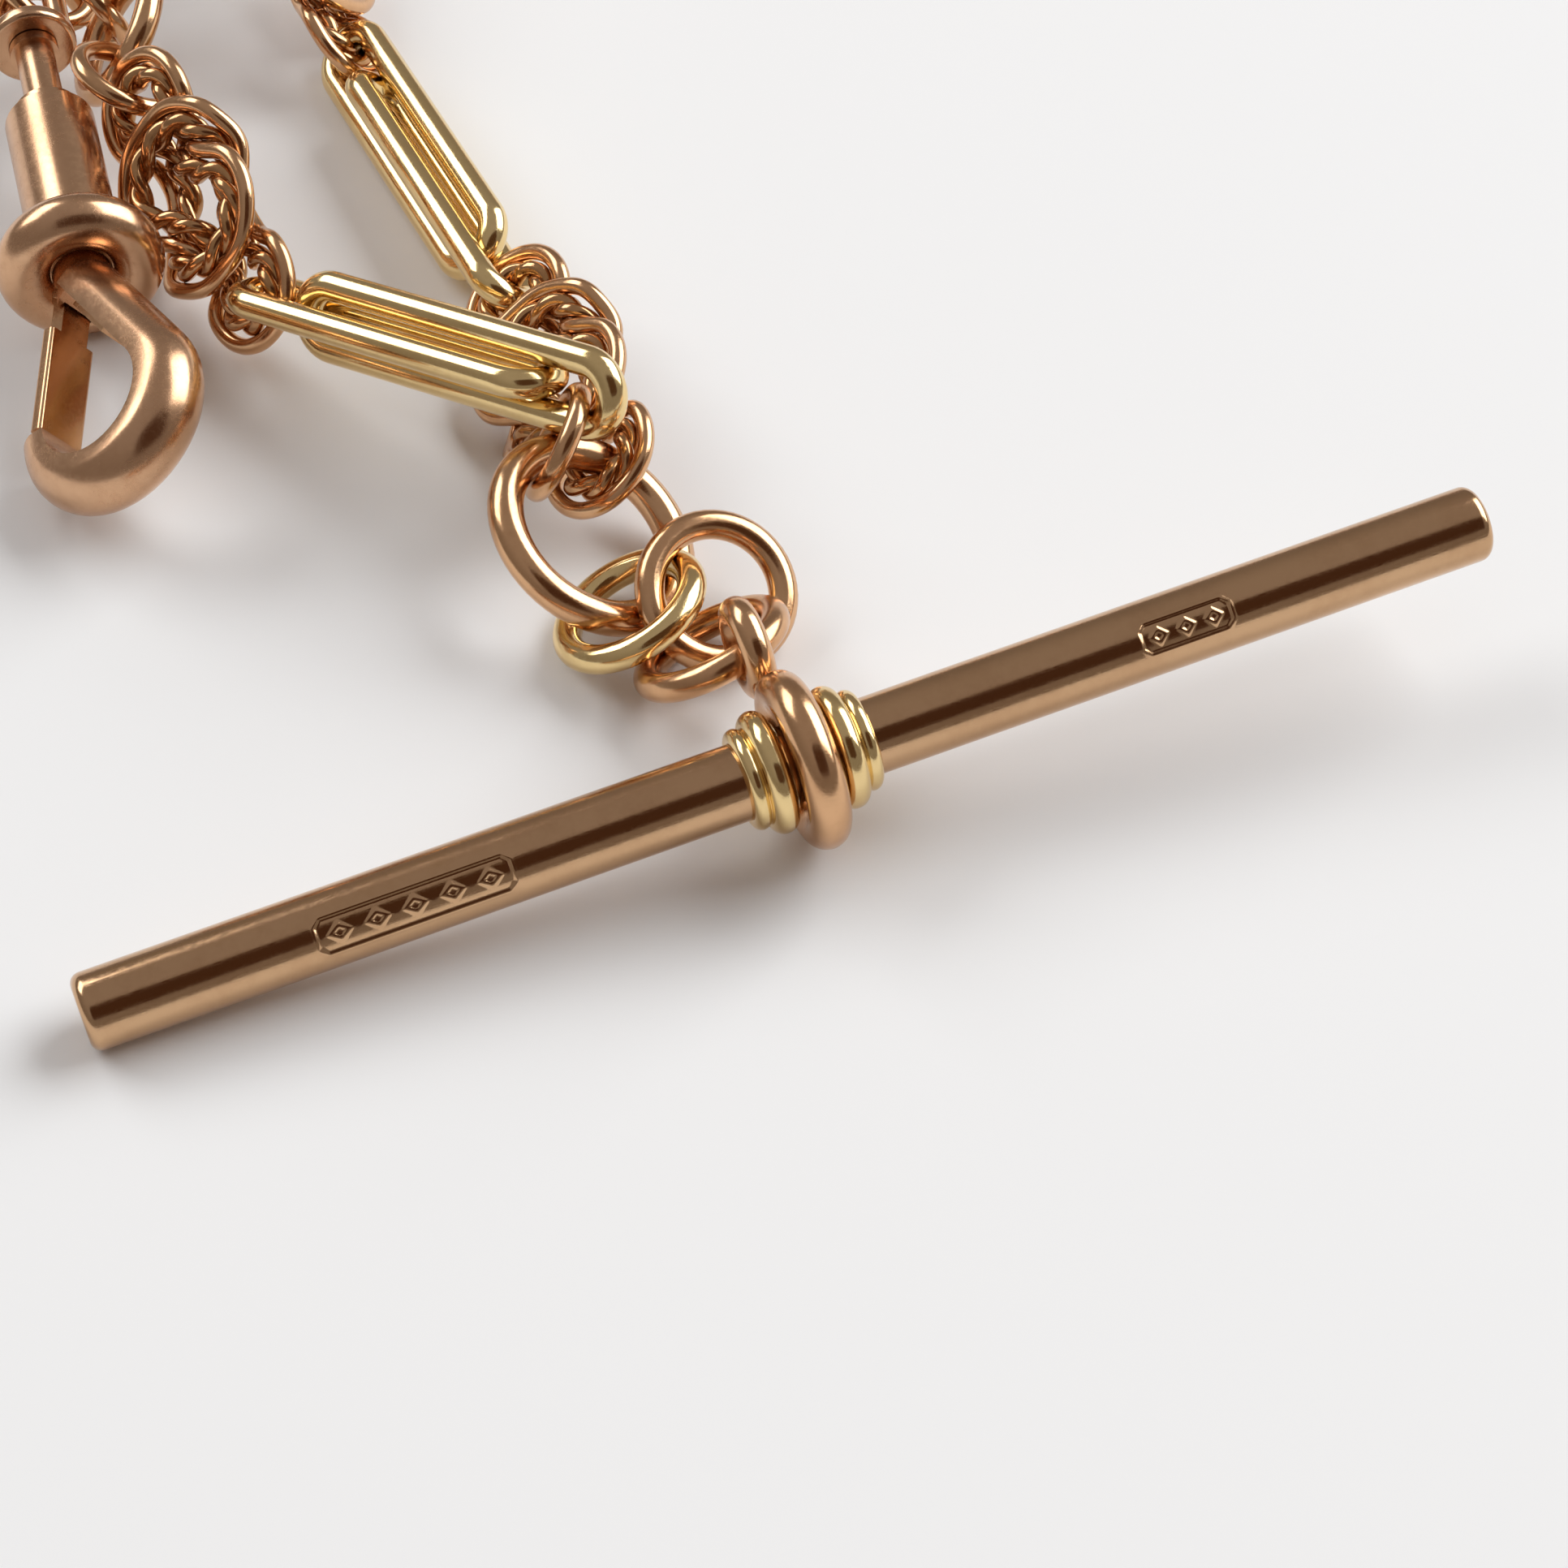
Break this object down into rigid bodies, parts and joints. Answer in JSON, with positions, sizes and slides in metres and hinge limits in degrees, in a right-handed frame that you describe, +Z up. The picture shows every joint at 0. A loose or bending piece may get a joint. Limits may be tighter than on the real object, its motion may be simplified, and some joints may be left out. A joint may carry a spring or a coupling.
{
  "type": "pocket watch chain",
  "caption": "Gold watch chain with a T-bar, rings, trombone and knot links, a short fob drop and two swivel clips with sprung gates.",
  "frame": {"origin": "below the middle of the whole chain as it lies, on the table it lies on", "axes": "+X along the T-bar towards its right end, +Y from the T-bar towards the chain, +Z up"},
  "size_m": [0.0776, 0.0848, 0.007],
  "materials": {
    "rose_gold": "polished, softly worn rose gold",
    "yellow_gold": "polished yellower gold",
    "rope_gold": "twisted rose gold wire, dark in the grooves",
    "bar_gold": "satin rose gold with fine wear",
    "worn_gold": "worn rose gold"
  },
  "bodies": {
    "centre_ring": {"centre_ring": "rose_gold"},
    "drop_ring_1": {"drop_ring_1": "yellow_gold"},
    "main_knot_1": {"main_knot_1_rope": "rope_gold", "main_knot_1_plain": "rose_gold"},
    "fob_ring_1": {"fob_ring_1": "rose_gold"},
    "drop_ring_2": {"drop_ring_2": "rose_gold"},
    "main_trombone_1": {"main_trombone_1_near_loop": "yellow_gold", "main_trombone_1_far_loop": "yellow_gold"},
    "fob_trombone": {"fob_trombone_near_loop": "yellow_gold", "fob_trombone_far_loop": "yellow_gold"},
    "drop_ring_3": {"drop_ring_3": "rose_gold"},
    "main_knot_2": {"main_knot_2_rope": "rope_gold", "main_knot_2_plain": "rose_gold"},
    "fob_knot": {"fob_knot_rope": "rope_gold", "fob_knot_plain": "rose_gold"},
    "shackle": {"shackle_ring": "rose_gold", "shackle_eye": "rose_gold"},
    "main_ring_1": {"main_ring_1": "rose_gold"},
    "fob_ring_2": {"fob_ring_2": "rose_gold"},
    "t_bar": {"t_bar_rod": "bar_gold", "t_bar_collar_left": "yellow_gold", "t_bar_collar_right": "yellow_gold"},
    "main_trombone_2": {"main_trombone_2_near_loop": "yellow_gold", "main_trombone_2_far_loop": "yellow_gold"},
    "fob_end_ring": {"fob_end_ring": "rose_gold"},
    "main_knot_3": {"main_knot_3_rope": "rope_gold", "main_knot_3_plain": "rose_gold"},
    "fob_ring_3": {"fob_ring_3": "rose_gold"},
    "main_ring_2": {"main_ring_2": "rose_gold"},
    "fob_ring_4": {"fob_ring_4": "rose_gold"},
    "main_trombone_3": {"main_trombone_3_near_loop": "yellow_gold", "main_trombone_3_far_loop": "yellow_gold"},
    "fob_clip_bow": {"fob_clip_bow": "rose_gold"},
    "main_knot_4": {"main_knot_4_rope": "rope_gold", "main_knot_4_plain": "rose_gold"},
    "fob_clip_body": {"fob_clip_post": "rose_gold", "fob_clip_barrel": "rose_gold", "fob_clip_collar": "rose_gold", "fob_clip_hook": "rose_gold", "fob_clip_gate_pin": "worn_gold", "fob_clip_gate_spring": "worn_gold"},
    "main_ring_3": {"main_ring_3": "rose_gold"},
    "fob_clip_gate": {"fob_clip_gate": "worn_gold"},
    "main_clip_bow": {"main_clip_bow": "rose_gold"},
    "main_clip_body": {"main_clip_post": "rose_gold", "main_clip_barrel": "rose_gold", "main_clip_collar": "rose_gold", "main_clip_hook": "rose_gold", "main_clip_gate_pin": "worn_gold", "main_clip_gate_spring": "worn_gold"},
    "main_clip_gate": {"main_clip_gate": "worn_gold"}
  },
  "joints": [
    {"name": "drop_ring_1_swing", "type": "hinge", "parent": "centre_ring", "child": "drop_ring_1", "pos_m": [-0.01722, -0.0299, 0.00087], "axis": [0.5751, 0.8168, -0.0459], "range_deg": [-2, 6.5]},
    {"name": "main_knot_1_swing", "type": "hinge", "parent": "centre_ring", "child": "main_knot_1", "pos_m": [-0.01773, -0.02576, 0.00246], "axis": [-0.7293, 0.4365, 0.527], "range_deg": [-20.5, 1]},
    {"name": "fob_ring_1_swing", "type": "hinge", "parent": "centre_ring", "child": "fob_ring_1", "pos_m": [-0.01927, -0.02547, 0.00337], "axis": [-0.8919, -0.1346, 0.4317], "range_deg": [-15.5, 0]},
    {"name": "drop_ring_2_swing", "type": "hinge", "parent": "drop_ring_1", "child": "drop_ring_2", "pos_m": [-0.01718, -0.03037, 0.00226], "axis": [-0.2455, 0.8812, -0.4039], "range_deg": [-3, 0]},
    {"name": "main_trombone_1_swing", "type": "hinge", "parent": "main_knot_1", "child": "main_trombone_1", "pos_m": [-0.01791, -0.01723, 0.00197], "axis": [0.6937, 0.1418, -0.7061], "range_deg": [-12.5, 22.5]},
    {"name": "fob_trombone_swing", "type": "hinge", "parent": "fob_ring_1", "child": "fob_trombone", "pos_m": [-0.01844, -0.02457, 0.00464], "axis": [-0.1862, 0.5008, -0.8453], "range_deg": [-3, 0]},
    {"name": "drop_ring_3_swing", "type": "hinge", "parent": "drop_ring_2", "child": "drop_ring_3", "pos_m": [-0.01827, -0.03272, 0.00164], "axis": [0.5093, -0.6979, -0.5035], "range_deg": [-4.5, 22.5]},
    {"name": "main_knot_2_swing", "type": "hinge", "parent": "main_trombone_1", "child": "main_knot_2", "pos_m": [-0.01878, -0.00233, 0.00174], "axis": [0.6825, -0.2817, 0.6745], "range_deg": [-22.5, 18]},
    {"name": "fob_knot_swing", "type": "hinge", "parent": "fob_trombone", "child": "fob_knot", "pos_m": [-0.02622, -0.01438, 0.00268], "axis": [-0.5556, -0.6867, 0.4688], "range_deg": [-13.5, 20.5]},
    {"name": "shackle_swing", "type": "hinge", "parent": "drop_ring_3", "child": "shackle", "pos_m": [-0.01699, -0.03544, 0.00326], "axis": [0.9423, 0.3188, 0.1023], "range_deg": [-22.5, 22.5]},
    {"name": "main_ring_1_swing", "type": "hinge", "parent": "main_knot_2", "child": "main_ring_1", "pos_m": [-0.01985, 0.00538, 0.00468], "axis": [0.6808, -0.0722, 0.7289], "range_deg": [-22.5, 22.5]},
    {"name": "fob_ring_2_swing", "type": "hinge", "parent": "fob_knot", "child": "fob_ring_2", "pos_m": [-0.02751, -0.00571, 0.00433], "axis": [0.8121, -0.3153, -0.491], "range_deg": [-19, 9]},
    {"name": "t_bar_spin", "type": "hinge", "parent": "shackle", "child": "t_bar", "pos_m": [-0.01682, -0.03969, 0.00306], "axis": [0.9973, 0, 0.0732], "continuous": true},
    {"name": "main_trombone_2_swing", "type": "hinge", "parent": "main_ring_1", "child": "main_trombone_2", "pos_m": [-0.01792, 0.0078, 0.00351], "axis": [-0.579, 0.1995, -0.7905], "range_deg": [-22.5, 22.5]},
    {"name": "fob_end_ring_swing", "type": "hinge", "parent": "fob_ring_2", "child": "fob_end_ring", "pos_m": [-0.02687, -0.00253, 0.00364], "axis": [-0.829, 0.2317, 0.509], "range_deg": [-18, 7.5]},
    {"name": "main_knot_3_swing", "type": "hinge", "parent": "main_trombone_2", "child": "main_knot_3", "pos_m": [-0.01162, 0.02023, 0.00164], "axis": [0.483, -0.5179, 0.7061], "range_deg": [-22.5, 22.5]},
    {"name": "fob_ring_3_swing", "type": "hinge", "parent": "fob_end_ring", "child": "fob_ring_3", "pos_m": [-0.02647, 0.00079, 0.00286], "axis": [-0.6355, -0.1644, -0.7544], "range_deg": [0, 20.5]},
    {"name": "main_ring_2_swing", "type": "hinge", "parent": "main_knot_3", "child": "main_ring_2", "pos_m": [-0.00878, 0.02739, 0.00474], "axis": [0.5605, -0.3932, 0.7289], "range_deg": [-22.5, 22.5]},
    {"name": "fob_ring_4_swing", "type": "hinge", "parent": "fob_ring_3", "child": "fob_ring_4", "pos_m": [-0.02724, 0.00301, 0.00196], "axis": [-0.4133, 0.2066, 0.8869], "range_deg": [-22.5, 0]},
    {"name": "main_trombone_3_swing", "type": "hinge", "parent": "main_ring_2", "child": "main_trombone_3", "pos_m": [-0.00592, 0.02857, 0.00357], "axis": [-0.4097, 0.4553, -0.7905], "range_deg": [-22.5, 22.5]},
    {"name": "fob_clip_bow_swing", "type": "hinge", "parent": "fob_ring_4", "child": "fob_clip_bow", "pos_m": [-0.02953, 0.00228, 0.00372], "axis": [0.1428, -0.8596, -0.4907], "range_deg": [0, 9]},
    {"name": "main_knot_4_swing", "type": "hinge", "parent": "main_trombone_3", "child": "main_knot_4", "pos_m": [0.00574, 0.03617, 0.00163], "axis": [0.1626, -0.6878, 0.7074], "range_deg": [-22.5, 22.5]},
    {"name": "fob_clip_body_spin", "type": "hinge", "parent": "fob_clip_bow", "child": "fob_clip_body", "pos_m": [-0.02943, -0.00017, 0.00313], "axis": [-0.1219, -0.9925, 0], "continuous": true},
    {"name": "main_ring_3_swing", "type": "hinge", "parent": "main_knot_4", "child": "main_ring_3", "pos_m": [0.01178, 0.04095, 0.00474], "axis": [0.2888, -0.6208, 0.7289], "range_deg": [-22.5, 22.5]},
    {"name": "fob_clip_gate_hinge", "type": "hinge", "parent": "fob_clip_body", "child": "fob_clip_gate", "pos_m": [-0.03148, -0.01282, 0.00275], "axis": [-0.5973, 0.0733, 0.7986], "range_deg": [0, 18], "stiffness_Nm_per_rad": 0.00002, "springref_deg": -8.59},
    {"name": "main_clip_bow_swing", "type": "hinge", "parent": "main_ring_3", "child": "main_clip_bow", "pos_m": [0.01486, 0.04037, 0.00381], "axis": [0.0383, 0.5593, -0.8281], "range_deg": [-22.5, 22.5]},
    {"name": "main_clip_body_spin", "type": "hinge", "parent": "main_clip_bow", "child": "main_clip_body", "pos_m": [0.01692, 0.04026, 0.00369], "axis": [0.9969, -0.0697, -0.0353], "continuous": true},
    {"name": "main_clip_gate_hinge", "type": "hinge", "parent": "main_clip_body", "child": "main_clip_gate", "pos_m": [0.02964, 0.03883, 0.00293], "axis": [-0.0044, -0.5009, 0.8655], "range_deg": [0, 18], "stiffness_Nm_per_rad": 0.00002, "springref_deg": -8.59}
  ]
}
